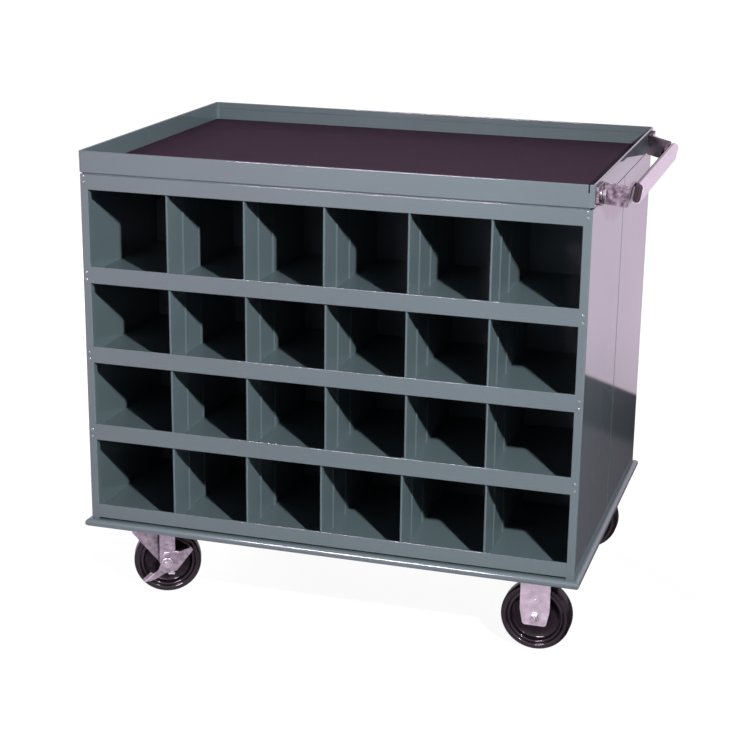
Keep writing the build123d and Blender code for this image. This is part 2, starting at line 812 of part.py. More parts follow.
def wheel(hub):
    """One-piece hard wheel: tread, a rim with two ridges, a thin web and a long hub."""
    bore = bushing_radius + running_gap
    web = web_thickness / 2
    half = wheel_width / 2
    rim_inner = rim_inner_share * wheel_radius
    ridge = ridge_share * wheel_radius
    groove = groove_share * wheel_radius
    shoulder = shoulder_share * wheel_radius
    with BuildPart() as disc:
        with BuildSketch(across(hub, 0)):
            with BuildLine():
                Polyline(
                    (0, bore), (hub_length / 2, bore), (hub_length / 2, hub_radius - rim_step / 2),
                    (hub_length / 2 - rim_step / 2, hub_radius), (web + rim_step, hub_radius + rim_step / 2),
                    (web, hub_radius + 2 * rim_step), (web, rim_inner - 2 * rim_step),
                    (half - rim_step, rim_inner), (half - groove_depth / 2, ridge - rim_step / 2),
                    (half - groove_depth / 2, ridge + rim_step / 2), (half - 2 * groove_depth, groove),
                    (half - groove_depth / 2, shoulder - rim_step / 2), (half, shoulder),
                    (half - wheel_edge / 2, wheel_radius - wheel_edge / 3),
                    (half - wheel_edge, wheel_radius), (0, wheel_radius), close=True,
                )
            make_face()
            mirror(about=Plane.YZ)
        revolve(axis=Axis(hub.origin, hub.y_dir))
    return disc.part


def bushing(hub):
    """Spanner bushing clamped between the fork legs, on which the wheel turns."""
    with BuildPart() as tube:
        with BuildSketch(facing(hub, leg_inner)):
            Circle(bushing_radius)
            Circle(axle_radius, mode=Mode.SUBTRACT)
        extrude(amount=fork_inner_width)
    return tube.part


def axle(hub, grip_start):
    """Axle bolt and nut through the fork; the nut faces the front."""
    with BuildPart() as bolt:
        plane = facing(hub, leg_outer)
        hex_bolt(
            plane, axle_radius, leg_outer + grip_start, hex_across, hex_height, hex_across, hex_height
        )
    return bolt.part


def rigid_leg(hub, v):
    """Tapered leg of the rigid fork, with a pressed dimple."""
    top = mount_height - plate_sheet / 2
    with BuildSketch(facing(hub, v + fork_sheet)) as outline:
        with BuildLine():
            Polyline(
                (-rigid_leg_width / 2, top), (-rigid_leg_width / 2, rigid_leg_shoulder),
                (-rigid_leg_tip_width / 2, -rigid_leg_drop), (rigid_leg_tip_width / 2, -rigid_leg_drop),
                (rigid_leg_width / 2, rigid_leg_shoulder), (rigid_leg_width / 2, top), close=True,
            )
        make_face()
        fillet(outline.vertices().group_by(Axis.Y)[0], radius=rigid_leg_corner)
        fillet(outline.vertices().group_by(Axis.Y)[-2], radius=4 * rigid_leg_corner)
        Circle(axle_radius, mode=Mode.SUBTRACT)
    extrude(outline.sketch, amount=fork_sheet)


def dimple(hub, v, sign):
    """Small pressed bump on a fork leg's outer face."""
    with BuildSketch(facing(hub, v)) as outline:
        with Locations((0, dimple_height)):
            Circle(dimple_radius)
    extrude(outline.sketch, amount=sign * dimple_radius / 3, taper=dimple_taper)


def caster_plate(x, y, sheet_top):
    """Mounting plate with four bolt holes."""
    with BuildSketch(Plane.XY.offset(sheet_top - plate_sheet)) as outline:
        with Locations((x, y)):
            RectangleRounded(plate_length, plate_width, plate_corner)
            with GridLocations(plate_bolt_x, plate_bolt_y, 2, 2):
                Circle(plate_bolt_radius, mode=Mode.SUBTRACT)
    extrude(outline.sketch, amount=plate_sheet)


def rigid_fork(hub):
    """Rigid caster's plate with two legs pressed down from it."""
    with BuildPart() as fork:
        caster_plate(hub.origin.X, hub.origin.Y, caster_height)
        rigid_leg(hub, -leg_outer)
        rigid_leg(hub, leg_inner)
        dimple(hub, -leg_outer, 1)
    return fork.part


def head_plate(x, y):
    """Swivel caster's plate with its race ring below and a seat for the kingpin's head."""
    with BuildPart() as plate:
        caster_plate(x, y, caster_height)
        with BuildSketch(Plane.XY.offset(caster_height - plate_sheet - race_ring_drop)):
            with Locations((x, y)):
                Circle(race_seat_radius + race_ring_width)
                Circle(race_seat_radius, mode=Mode.SUBTRACT)
        extrude(amount=race_ring_drop)
        with BuildSketch(Plane.XY.offset(caster_height - plate_sheet)):
            with Locations((x, y)):
                Circle(kingpin_radius)
        extrude(amount=plate_sheet, mode=Mode.SUBTRACT)
        with BuildSketch(Plane.XY.offset(caster_height - kingpin_head_height)):
            with Locations((x, y)):
                Circle(kingpin_head_radius)
        extrude(amount=kingpin_head_height, mode=Mode.SUBTRACT)
    return plate.part


def kingpin(x, y):
    """Kingpin held in the plate, with its nut under the fork's crown."""
    nut_top = crown_top - fork_sheet - seat_gap
    with BuildPart() as pin:
        with BuildSketch(Plane.XY.offset(caster_height - kingpin_head_height)):
            with Locations((x, y)):
                Circle(kingpin_head_radius)
        extrude(amount=kingpin_head_height)
        with BuildSketch(Plane.XY.offset(nut_top - kingpin_nut_height)):
            with Locations((x, y)):
                Circle(kingpin_radius)
        extrude(amount=caster_height - kingpin_head_height - nut_top + kingpin_nut_height)
        with BuildSketch(Plane.XY.offset(nut_top - kingpin_nut_height)):
            with Locations((x, y)):
                hexagon(kingpin_nut_across)
        extrude(amount=kingpin_nut_height)
    return pin.part


def ball_set(x, y):
    """Ring of bearing balls between the plate and the fork's crown."""
    with BuildPart() as balls:
        with Locations((x, y, crown_top + ball_diameter / 2)):
            with PolarLocations(race_radius, ball_count):
                Sphere(ball_diameter / 2)
    return balls.part


def swivel_leg(hub, v, boss_sign):
    """Leg that sweeps forward to the crown, with a raised strip down its trailing edge."""
    half = leg_strip_width / 2
    with BuildSketch(facing(hub, v + fork_sheet)) as outline:
        with BuildLine():
            Polyline(
                (-half, 0), (-leg_lead_reach, leg_lead_height), (-leg_lead_top, crown_low),
                (half, crown_low), (half, 0),
            )
            ThreePointArc((half, 0), (0, -half), (-half, 0))
        make_face()
        Circle(axle_radius, mode=Mode.SUBTRACT)
    extrude(outline.sketch, amount=fork_sheet)
    if boss_sign:
        with BuildSketch(facing(hub, v)) as outline:
            with BuildLine():
                Polyline((-half, 0), (-half, crown_low), (half, crown_low), (half, 0))
                ThreePointArc((half, 0), (0, -half), (-half, 0))
            make_face()
            Circle(axle_radius, mode=Mode.SUBTRACT)
        extrude(outline.sketch, amount=leg_strip_rise)


def swivel_fork(hub):
    """Fork that turns under the plate: a crown with two legs."""
    front = -leg_lead_top
    back = leg_strip_width / 2
    with BuildPart() as fork:
        with BuildSketch(hub.offset(crown_low)) as plan:
            with Locations(((front + back) / 2, 0)):
                Rectangle(back - front, 2 * leg_outer)
            fillet(plan.vertices(), radius=fork_sheet)
            with Locations((-swivel_trail, 0)):
                Circle(race_seat_radius + race_ring_width)
                Circle(kingpin_radius + running_gap, mode=Mode.SUBTRACT)
        extrude(amount=fork_sheet)
        swivel_leg(hub, -leg_outer, 1)
        swivel_leg(hub, leg_inner, 0)
        dimple(hub, -leg_outer - leg_strip_rise, 1)
    return fork.part


def brake_lever(hub):
    """Foot lever on the axle: two wings with a turned-out edge and a stop tang below the leg."""
    outer = leg_outer + leg_strip_rise + seat_gap
    points = [(u * lever_length, w * lever_length) for u, w in lever_outline_shares]
    with BuildPart() as lever:
        with BuildSketch(facing(hub, -outer)) as outline:
            with BuildLine():
                Polyline(*points, close=True)
            make_face()
            fillet(outline.vertices(), radius=lever_sheet / 2)
            Circle(lever_hub_radius)
            Circle(axle_radius + running_gap, mode=Mode.SUBTRACT)
        extrude(amount=lever_sheet)
        for start, end in ((points[-1], points[0]), (points[6], points[7])):
            with BuildSketch(facing(hub, -outer)):
                with BuildLine():
                    run = Vector(end[0] - start[0], end[1] - start[1])
                    width = run.rotate(Axis.Z, 90).normalized() * lever_sheet
                    lower = Vector(*start) + run * lever_flange_inset_share
                    upper = Vector(*end) - run * lever_flange_inset_share
                    Polyline(lower, upper, upper + width, lower + width, close=True)
                make_face()
            extrude(amount=lever_flange)
        tang_depth = outer - leg_inner - seat_gap
        with BuildSketch(facing(hub, -outer + tang_depth)):
            with Locations((lever_tang_offset, -lever_tang_radius - lever_tang_sheet / 2)):
                Rectangle(lever_tang_width, lever_tang_sheet)
        extrude(amount=tang_depth + lever_sheet)
    return lever.part


def save(part, name):
    """Label a finished piece and write it under its own name."""
    part.label = name
    export_step(part, f"parts/{name}.step")


def save_unit(name, rear):
    """All pieces of one bin unit."""
    frame = unit_frame(rear)
    save(side_panel(frame, False), f"{name}_side_left")
    save(side_panel(frame, True), f"{name}_side_right")
    save(back_panel(frame), f"{name}_back_panel")
    save(top_panel(frame), f"{name}_top_panel")
    save(rail_set(frame), f"{name}_rails")
    for index in range(len(floors)):
        save(shelf(frame, index), f"{name}_shelf_{index + 1}")
    if rear:
        save(divider_row(frame, range(len(floors))), f"{name}_dividers")
    else:
        for row in range(len(floors)):
            save(divider_row(frame, [row]), f"{name}_dividers_row_{row + 1}")
    save(rivet_set(frame), f"{name}_rivets")


def save_casters():
    """The rigid pair under the handle and the swivel pair with brakes at the other end."""
    rigid_front, rigid_rear, swivel_front, swivel_rear = caster_spots()
    for name, (x, y) in (("rigid_front", rigid_front), ("rigid_rear", rigid_rear)):
        hub = hub_frame(x, y, 0)
        save(rigid_fork(hub), f"{name}_fork")
        save(wheel(hub), f"{name}_wheel")
        save(bushing(hub), f"{name}_bushing")
        save(axle(hub, leg_outer), f"{name}_axle")
    heading = radians(swivel_heading)
    lever_grip = leg_outer + leg_strip_rise + lever_sheet + 2 * seat_gap
    for name, (x, y) in (("swivel_front", swivel_front), ("swivel_rear", swivel_rear)):
        hub = hub_frame(
            x + swivel_trail * cos(heading), y + swivel_trail * sin(heading), swivel_heading
        )
        save(head_plate(x, y), f"{name}_plate")
        save(kingpin(x, y), f"{name}_kingpin")
        save(ball_set(x, y), f"{name}_balls")
        save(swivel_fork(hub), f"{name}_fork")
        save(wheel(hub), f"{name}_wheel")
        save(bushing(hub), f"{name}_bushing")
        save(axle(hub, lever_grip), f"{name}_axle")
        save(brake_lever(hub), f"{name}_brake_lever")


def main():
    os.makedirs("parts", exist_ok=True)
    save_unit("front", False)
    save_unit("rear", True)
    save(tray(), "tray_top")
    save(mat(), "rubber_mat")
    save(base_pan(), "base_pan")
    save(handle_tube(), "handle_tube")
    save(handle_bracket(False), "handle_bracket_front")
    save(handle_bracket(True), "handle_bracket_rear")
    save(handle_bolt_set(), "handle_bolts")
    save(handle_screw_set(), "handle_screws")
    save_casters()
    save(caster_bolt_set(), "caster_bolts")
    save(base_bolt_set(), "base_bolts")
    save(unit_bolt_set(), "unit_bolts")


main()
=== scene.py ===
import json
from math import atan, pi, radians

import bmesh
import bpy
from mathutils import Matrix, Vector

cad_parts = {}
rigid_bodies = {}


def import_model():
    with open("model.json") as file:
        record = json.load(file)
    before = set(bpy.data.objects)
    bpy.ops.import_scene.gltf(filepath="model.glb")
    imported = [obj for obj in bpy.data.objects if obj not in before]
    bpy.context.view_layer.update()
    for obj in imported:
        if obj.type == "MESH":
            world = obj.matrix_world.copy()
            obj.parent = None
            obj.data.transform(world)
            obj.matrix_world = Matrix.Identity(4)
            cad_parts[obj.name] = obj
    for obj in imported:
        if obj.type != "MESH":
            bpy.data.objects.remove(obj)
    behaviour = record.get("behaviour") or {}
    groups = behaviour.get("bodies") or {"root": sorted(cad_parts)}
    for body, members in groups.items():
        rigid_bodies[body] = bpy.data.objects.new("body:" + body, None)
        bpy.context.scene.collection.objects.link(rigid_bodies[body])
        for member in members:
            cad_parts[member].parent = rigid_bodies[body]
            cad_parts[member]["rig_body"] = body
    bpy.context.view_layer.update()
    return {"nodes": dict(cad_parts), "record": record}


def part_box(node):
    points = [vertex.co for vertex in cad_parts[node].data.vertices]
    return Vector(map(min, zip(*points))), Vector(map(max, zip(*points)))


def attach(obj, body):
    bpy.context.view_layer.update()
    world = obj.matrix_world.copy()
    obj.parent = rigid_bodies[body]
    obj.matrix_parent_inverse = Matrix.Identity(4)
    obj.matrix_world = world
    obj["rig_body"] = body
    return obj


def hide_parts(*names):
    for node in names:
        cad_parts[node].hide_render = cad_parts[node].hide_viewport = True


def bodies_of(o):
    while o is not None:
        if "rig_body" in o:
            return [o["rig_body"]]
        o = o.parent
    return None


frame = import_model()
slot_of = {row["node"]: row["material_slot"] for row in frame["record"]["subparts"]}
all_casters = ("rigid_front", "rigid_rear", "swivel_front", "swivel_rear")
swivel_casters = all_casters[2:]

# Camera, set to the photograph's view
camera_place = (0.83742, -2.89511, 1.29554)
camera_yaw = 16.695
camera_pitch = 16.934
camera_roll = 0.772
photo_pixels = 750
focal_pixels = 1743.1
sensor_width = 36.0
view_depth = 100.0

# Key light: a small lamp high at the front right, turned towards the cart's left end
lamp_colour = (1.0, 0.98, 1.0)
key_place = (1.525, -2.055, 1.79)
key_radius = 0.05
key_power = 440.0
key_target = (-0.50, -0.3, 0.45)
key_cone = 66.0

# A wide soft source at the front left, seen only in what shines
glow_place = (-0.62, -2.40, 1.40)
glow_width = 0.8
glow_height = 0.35
glow_power = 75.0
glow_target = (0.0, -0.3, 0.5)

# A soft fill behind the left end, for the sides that face away from the photograph's view
fill_place = (-2.0, 2.1, 1.15)
fill_size = 1.0
fill_power = 92.0
fill_target = (-0.1, 0.1, 0.45)

# What shines sees a pinkish room, dimmer near the cart than far from it and brightest on the left
room_colour = (1.0, 0.82, 1.0, 1.0)
room_strength = 0.88
near_strength = 0.72
near_reach = 0.9
far_reach = 2.0
left_gain = 1.75
left_start = -1.8
left_end = -0.2
later_bounce_share = 0.3
floor_bounces = 1.5
sky_bounces = 2.5

# What shines sees a dark stretch of floor beyond the handle end, with a slanted far edge and a step
dark_strength = 0.02
dark_near_strength = 0.09
dark_start = -0.6
dark_full = -0.5
dark_edge_slope = 0.85
dark_edge = 0.785
dark_edge_softness = 0.012
dark_step = 0.45
dark_step_softness = 0.03
dark_middle = 1.0
dark_half_width = 0.62
dark_side_softness = 0.02

# Floor and sky: white to the camera, with a faint even light on the object
floor_size = 14.0
floor_grey = (0.8, 0.8, 0.8, 1.0)
floor_white_share = 0.86
floor_white_near = 1.10
floor_white_far = 1.19
white_near_reach = 0.55
white_far_reach = 0.95
sky_colour = (1.0, 0.97, 1.0, 1.0)
sky_light = 0.004
white = (1.0, 1.0, 1.0, 1.0)

# Span that most of a noise's values fill
noise_low = 0.3
noise_high = 0.7

# Patterns of the enamel, as scales per metre and heights in metres
enamel_cloud_scale = 2.2
dust_scale = 900.0
dust_share = 0.35
peel_scale = 260.0
peel_strength = 0.05
peel_height = 0.0006
wave_scale = 6.0
wave_height = 0.0015
wave_full_below = 0.50
wave_faint_above = 0.72
wave_faint_share = 0.08

# Patterns of the rubber, the zinc, the wheels and the plugs
rubber_cloud_scale = 9.0
rubber_fleck_scale = 420.0
rubber_fleck_share = 0.22
pebble_scale = 520.0
pebble_strength = 0.5
pebble_height = 0.0006
scratch_scale = 150.0
scratch_share = 0.25
scratch_strength = 0.12
scratch_height = 0.0004
resin_cloud_scale = 60.0
resin_gloss = 0.3
ridge_gloss = 0.5
resin_grit_scale = 700.0
resin_grit_strength = 0.06
resin_grit_height = 0.0004
plug_grain_scale = 900.0
plug_grain_strength = 0.1
plug_grain_height = 0.0002

# Handle: the lean of the grip, and the painted shade on its shoulder and on the rear bar's top
handle_tilt = 10.0
shoulder_dark = -0.0012
shoulder_light = 0.0004
shoulder_low = 0.0085
shoulder_high = 0.0110
shoulder_shade = 0.94
bar_light_below = 0.770
bar_dark_above = 0.792
bar_shade = 0.72

# Swivel forks: half the raised strip's width, and the painted shade in the crease and on the wing beside
# it
swivel_heading = 22.0
strip_edge = 0.01375
crease_width = 0.0048
crease_low = 0.010
crease_high = 0.045
crease_low_shade = 0.45
crease_high_shade = 0.90
wing_reach = 0.050
wing_shade = 0.42

# Brake lever: its outline, a wing flared out, the other wing's turned edge and the stop tab, with
# painted highlights along the flared wing's fold and on the tab
lever_reach = 0.044
lever_sheet = 0.0025
lever_face = 0.0258
lever_edge_round = 0.0005
lever_shares = (
    (-0.93, -0.82), (-0.72, -0.79), (-0.45, -0.68), (-0.11, -0.45), (0.36, -0.34), (0.61, -0.02),
    (1.04, 0.55), (0.95, 0.68), (0.41, 0.48), (0.09, 0.48), (-0.16, 0.43),
    (-0.25, 0.07), (-0.36, -0.27), (-0.54, -0.45),
)
flare_shift = (-0.0042, -0.0032, 0.0046)
turned_edge_points = (7, 8)
turned_edge_shift = (0.0, -0.0085, 0.0)
edge_inset_share = 0.84
tab_size = (0.0115, 0.0088, 0.0045)
tab_place = (0.0068, -0.0226, -0.0192)
tab_margin = 0.001
tab_fade = 0.0015
tab_shine = 0.9
fold_rise = 0.0002
fold_half_width = 0.0005
fold_fade = 0.0010
fold_end = 0.0005
fold_end_fade = 0.0020

# Wheel: hub and web
wheel_segments = 96
wheel_radius = 0.0599
wheel_half = 0.015875
bore_radius = 0.008
hub_half = 0.0182
hub_radius = 0.017
hub_round = 0.0015
hub_fillet = 0.006
hub_fillet_height = 0.0025
web_half = 0.005
web_end_share = 0.690
web_rise_share = 0.702
web_rise = 0.0012

# Rim of the wheel with its two ridges: radius as a share of the wheel's, and depth below its side
rim_stations = (
    (0.716, 0.0030), (0.740, 0.0010), (0.770, 0.0010), (0.795, 0.0026), (0.815, 0.0030), (0.835, 0.0012),
    (0.860, 0.0), (0.925, 0.0), (0.968, 0.0015), (0.992, 0.0040), (1.0, 0.0075),
)
ridge_shares = (0.71, 0.95)

# Flange under the nut of a swivel caster's axle, as (radius, place along the axle)
flange_segments = 64
flange_stations = (
    (0.0050, -0.0260), (0.0100, -0.0260), (0.0106, -0.0266), (0.0104, -0.0272), (0.0098, -0.0276),
    (0.0084, -0.0280), (0.0050, -0.0280),
)

# Plugs in the ends of the grip
tube_bore_width = 0.0128
tube_bore_height = 0.0303
plug_segments = 48
plug_depth = 0.003
plug_recess = 0.0004
plug_ribs = 3
rib_depth = 0.0007
rib_inset_share = 0.2
outward_share = 0.9

# Rounding of sharp edges, so that they catch the light
soft_edges = {
    "handle_tube": 0.0006, "handle_bracket_front": 0.0008, "handle_bracket_rear": 0.0008,
    "handle_bolts": 0.0006, "tray_top": 0.0003,
    "rigid_front_fork": 0.0008, "rigid_rear_fork": 0.0008,
    "swivel_front_fork": 0.0007, "swivel_rear_fork": 0.0007,
    "rigid_front_axle": 0.0006, "rigid_rear_axle": 0.0006,
    "swivel_front_axle": 0.0006, "swivel_rear_axle": 0.0006,
}
edge_steps = 2
sharp_angle = 35.0
flat_angle = 0.5

# Angles up to which neighbouring faces are shaded as one surface
shade_angle = 40.0
round_shade_angle = 60.0
plug_shade_angle = 30.0

# Least distances between points of a mesh
weld_gap = 0.00001
cut_gap = 0.000001


class Value:
    """A shader socket that works in sums as a number does."""

    def __init__(self, shader, socket):
        self.shader = shader
        self.socket = socket

    def math(self, operation, *terms):
        """A Math node on one or two terms."""
        return self.shader.node("Math", {"operation": operation}, dict(enumerate(terms)))

    def __add__(self, other):
        return self.math("ADD", self, other)

    def __sub__(self, other):
        return self.math("SUBTRACT", self, other)

    def __rsub__(self, other):
        return self.math("SUBTRACT", other, self)

    def __mul__(self, other):
        return self.math("MULTIPLY", self, other)

    def __gt__(self, other):
        return self.math("GREATER_THAN", self, other)

    def __lt__(self, other):
        return self.math("LESS_THAN", self, other)

    def __abs__(self):
        return self.math("ABSOLUTE", self)

    __radd__ = __add__
    __rmul__ = __mul__


class Shader:
    """A material or a world whose nodes are made in code."""

    def __init__(self, name, world=False):
        blocks = bpy.data.worlds if world else bpy.data.materials
        self.block = blocks.new(name)
        self.block.use_nodes = True
        self.tree = self.block.node_tree
        self.tree.nodes.clear()

    def node(self, kind, settings=None, inputs=None, output=0):
        """Adds a node, sets it up, feeds its inputs and returns one of its outputs."""
        made = self.tree.nodes.new("ShaderNode" + kind)
        for name, setting in (settings or {}).items():
            setattr(made, name, setting)
        for name, value in (inputs or {}).items():
            if isinstance(value, Value):
                self.tree.links.new(value.socket, made.inputs[name])
            else:
                made.inputs[name].default_value = value
        if made.outputs:
            return Value(self, made.outputs[output])
        return made

    def place(self):
        """Object coordinates, in metres."""
        return self.node("TexCoord", output="Object")

    def turned_place(self, centre, angle, axis):
        """Object coordinates from a centre, in a frame turned by an angle about an axis."""
        back = Matrix.Rotation(-radians(angle), 4, axis)
        inputs = {"Vector": self.place(), "Rotation": back.to_euler(), "Location": -(back @ centre)}
        return self.node("Mapping", {}, inputs)

    def part(self, vector, axis):
        """One of a vector's parts: X, Y or Z."""
        return self.node("SeparateXYZ", {}, {"Vector": vector}, output=axis)

    def noise(self, scale, detail=3.0, roughness=0.55, vector=None):
        """Cloudy values around one half."""
        inputs = {"Scale": scale, "Detail": detail, "Roughness": roughness}
        inputs["Vector"] = vector or self.place()
        return self.node("TexNoise", {}, inputs, output="Fac")

    def spread(self, value, low, high, start=0.0, end=1.0):
        """A value rescaled from one span to another, kept within it."""
        inputs = {"Value": value, "From Min": low, "From Max": high, "To Min": start, "To Max": end}
        return self.node("MapRange", {"clamp": True}, inputs)

    def graded(self, noise, start, end):
        """A noise rescaled so that most of it lies between two values."""
        return self.spread(noise, noise_low, noise_high, start, end)

    def blend(self, amount, first, second, kind="MIX"):
        """Two colours mixed."""
        settings = {"data_type": "RGBA", "blend_type": kind}
        return self.node("Mix", settings, {"Factor": amount, 6: first, 7: second}, output=2)

    def choose(self, amount, first, second):
        """Two surfaces mixed."""
        return self.node("MixShader", {}, {0: amount, 1: first, 2: second})

    def bump(self, height, strength, distance, normal=None):
        """Surface relief of a height, in metres."""
        inputs = {"Height": height, "Strength": strength, "Distance": distance}
        if normal:
            inputs["Normal"] = normal
        return self.node("Bump", {}, inputs)

    def ray(self, kind):
        """One where a ray is of a kind, such as a camera ray."""
        return self.node("LightPath", output=kind)

    def first_bounce(self, bounces):
        """One for a ray with fewer bounces than given, less for one that has bounced on."""
        straight = self.ray("Ray Depth") < bounces
        return later_bounce_share + straight * (1.0 - later_bounce_share)

    def finish(self, **inputs):
        """The shaded surface; names of the sockets have underscores for blanks."""
        named = {name.replace("_", " "): value for name, value in inputs.items()}
        surface = self.node("BsdfPrincipled", {}, named)
        self.node("OutputMaterial", {}, {"Surface": surface})
        return self.block


def tone(red, green, blue):
    """A colour given in screen values of 0 to 255, as the linear colour that nodes take."""
    shares = [part / 255 for part in (red, green, blue)]
    linear = [((s + 0.055) / 1.055) ** 2.4 if s > 0.04045 else s / 12.92 for s in shares]
    return (*linear, 1.0)


def centre_of(node):
    """Middle of a node's box."""
    low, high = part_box(node)
    return (Vector(low) + Vector(high)) / 2


# Finishes


def enamel(name, colour, ripple=0.35, coat=1.0, coat_roughness=0.04, coat_ior=1.6):
    """Gloss enamel sprayed on sheet steel, with a faint orange peel and specks of dust."""
    paint = Shader(name)
    cloud = paint.noise(enamel_cloud_scale, 4.0)
    shade = paint.graded(cloud, 0.94, 1.05)
    grey = paint.node("CombineColor", {}, {0: shade, 1: shade, 2: shade})
    tinted = paint.blend(1.0, colour, grey, "MULTIPLY")
    dust = paint.spread(paint.noise(dust_scale, 2.0, 0.7), 0.70, 0.74)
    dusty = paint.blend(dust * dust_share, tinted, tone(176, 180, 184))
    peel = paint.noise(peel_scale, 2.0, 0.5)
    height = paint.part(paint.place(), "Z")
    fading = paint.spread(height, wave_full_below, wave_faint_above, 1.0, wave_faint_share)
    wave = paint.noise(wave_scale, 1.0, 0.5) * fading
    waved = paint.bump(wave, ripple, wave_height)
    return paint.finish(
        Base_Color=dusty,
        Roughness=paint.graded(cloud, 0.36, 0.44),
        Specular_IOR_Level=0.2,
        Coat_Weight=coat,
        Coat_Roughness=coat_roughness,
        Coat_IOR=coat_ior,
        Normal=paint.bump(peel, peel_strength, peel_height, waved),
    )


def rubber_finish():
    """Dark ribless rubber with a fine pebble and a few pale scuffs."""
    rubber = Shader("mat_rubber")
    cloud = rubber.noise(rubber_cloud_scale, 5.0, 0.6)
    fleck = rubber.spread(rubber.noise(rubber_fleck_scale, 3.0, 0.7), 0.45, 0.70)
    base = rubber.blend(rubber.spread(cloud, 0.35, 0.7), tone(43, 29, 41), tone(60, 43, 58))
    spotted = rubber.blend(fleck * rubber_fleck_share, base, tone(84, 68, 82))
    inputs = {"Vector": rubber.place(), "Scale": pebble_scale}
    pebble = rubber.node("TexVoronoi", {}, inputs, output="Distance")
    return rubber.finish(
        Base_Color=spotted,
        Roughness=rubber.graded(cloud, 0.70, 0.85),
        Specular_IOR_Level=0.08,
        Normal=rubber.bump(pebble, pebble_strength, pebble_height),
    )


def zinc(name, dark, light, roughness, grain=(1.0, 1.0, 1.0), mottle_scale=70.0, shade=None, line=None):
    """Bright zinc plate on steel, mottled and finely scratched along one way, with painted shade where a
    shade mask is given and painted highlights where a line mask is given.
    """
    plate = Shader(name)
    mottle = plate.noise(mottle_scale, 4.0, 0.6)
    grained = plate.node("Mapping", {}, {"Vector": plate.place(), "Scale": grain})
    scratch = plate.noise(scratch_scale, 3.0, 0.6, grained)
    colour = plate.blend(plate.spread(mottle, 0.32, 0.68), dark, light)
    worn_and_painted_light = plate.blend(plate.spread(scratch, 0.55, 0.75) * scratch_share, colour, tone(120, 108, 118))
    # Painted shade: the plate darkened to near black where the shade mask is high
    if shade:
        worn_and_painted_light = plate.blend(shade(plate), worn_and_painted_light, tone(22, 14, 20))
    # Painted highlight: the plate lightened to near white where the line mask is high
    if line:
        worn_and_painted_light = plate.blend(line(plate), worn_and_painted_light, tone(253, 252, 253))
    return plate.finish(
        Base_Color=worn_and_painted_light,
        Metallic=1.0,
        Roughness=plate.graded(mottle, roughness - 0.07, roughness + 0.09),
        Normal=plate.bump(scratch, scratch_strength, scratch_height),
    )


def phenolic():
    """Hard black wheel material: moulded gloss, rubbed brightest on the ridges, with mould marks."""
    resin = Shader("phenolic_wheel")
    ridge = resin.node("Attribute", {"attribute_name": "ridge"}, output="Fac")
    cloud = resin.noise(resin_cloud_scale, 4.0, 0.6)
    grit = resin.noise(resin_grit_scale, 3.0, 0.6)
    return resin.finish(
        Base_Color=resin.blend(resin.spread(cloud, 0.35, 0.68), tone(15, 9, 14), tone(26, 18, 25)),
        Roughness=resin.graded(cloud, 0.40, 0.55),
        Specular_IOR_Level=0.1,
        Coat_Weight=ridge * ridge_gloss + resin_gloss,
        Coat_Roughness=0.07,
        Coat_IOR=1.5,
        Normal=resin.bump(grit, resin_grit_strength, resin_grit_height),
    )


def end_plug_finish():
    """Dark ribbed plastic in the ends of the grip, with painted shade in the grooves between the ribs.
    """
    plastic = Shader("plug_plastic")
    grain = plastic.noise(plug_grain_scale, 2.0, 0.6)
    groove_shade = plastic.node("Attribute", {"attribute_name": "groove_shade"}, output="Fac")
    tint = plastic.blend(plastic.spread(grain, 0.4, 0.7), tone(46, 30, 42), tone(66, 48, 60))
    return plastic.finish(
        Base_Color=plastic.blend(groove_shade, tint, tone(10, 4, 8)),
        Roughness=plastic.graded(grain, 0.45, 0.6),
        Normal=plastic.bump(grain, plug_grain_strength, plug_grain_height),
    )


def beside_strip(caster):
    """Painted shade on a swivel fork's front leg: a painted shadow in the crease beside the raised
    strip, and painted shade on the wing beside it, fading forward.
    """
    def shade(plate):
        hub = plate.turned_place(centre_of(caster + "_wheel"), swivel_heading, "Z")
        ahead, aside, above = (plate.part(hub, axis) for axis in "XYZ")
        # Painted shadow in the crease, stronger higher up, and painted shade on the wing
        depth = plate.spread(above, crease_low, crease_high, crease_low_shade, crease_high_shade)
        crease = depth * plate.spread(ahead, -crease_width - strip_edge, -crease_width / 2 - strip_edge)
        wing = plate.spread(ahead, -wing_reach, -strip_edge, 0.0, wing_shade) * (1.0 - crease)
        return (crease + wing) * (ahead < -strip_edge) * (aside < 0.0)
    return shade


def along_fold(caster):
    """Painted highlights on a foot lever: a bright line along the fold of its flared wing, and a bright
    stop tab.
    """
    def line(plate):
        hub = plate.turned_place(centre_of(caster + "_wheel"), swivel_heading, "Z")
        low, high = (Vector((u, 0.0, w)) * lever_reach for u, w in (lever_shares[0], lever_shares[-1]))
        slope = atan((high.z - low.z) / (high.x - low.x))
        level = plate.node("Mapping", {}, {"Vector": hub, "Rotation": (0.0, slope, 0.0)})
        end = Matrix.Rotation(slope, 4, "Y") @ high
        # Painted highlight along the fold of the flared wing
        off = abs(plate.part(level, "Z") - (end.z + fold_rise))
        within = plate.spread(plate.part(level, "X"), end.x - fold_end_fade, end.x - fold_end, 1.0, 0.0)
        fold = plate.spread(off, fold_half_width, fold_fade, 1.0, 0.0) * within
        ahead = plate.part(hub, "X")
        above = plate.part(hub, "Z")
        # Painted highlight on the stop tab
        tab = plate.spread(above, tab_place[2], tab_place[2] + tab_fade, tab_shine, 0.0)
        tab_end = tab_place[0] + tab_size[0] / 2 + tab_margin
        return fold + tab * (ahead > 0.0) * (ahead < tab_end)
    return line


def towards_top(plate):
    """Painted shade on the rear flat bar: darker towards its top edge."""
    height = plate.part(plate.place(), "Z")
    return plate.spread(height, bar_light_below, bar_dark_above, 0.0, bar_shade)


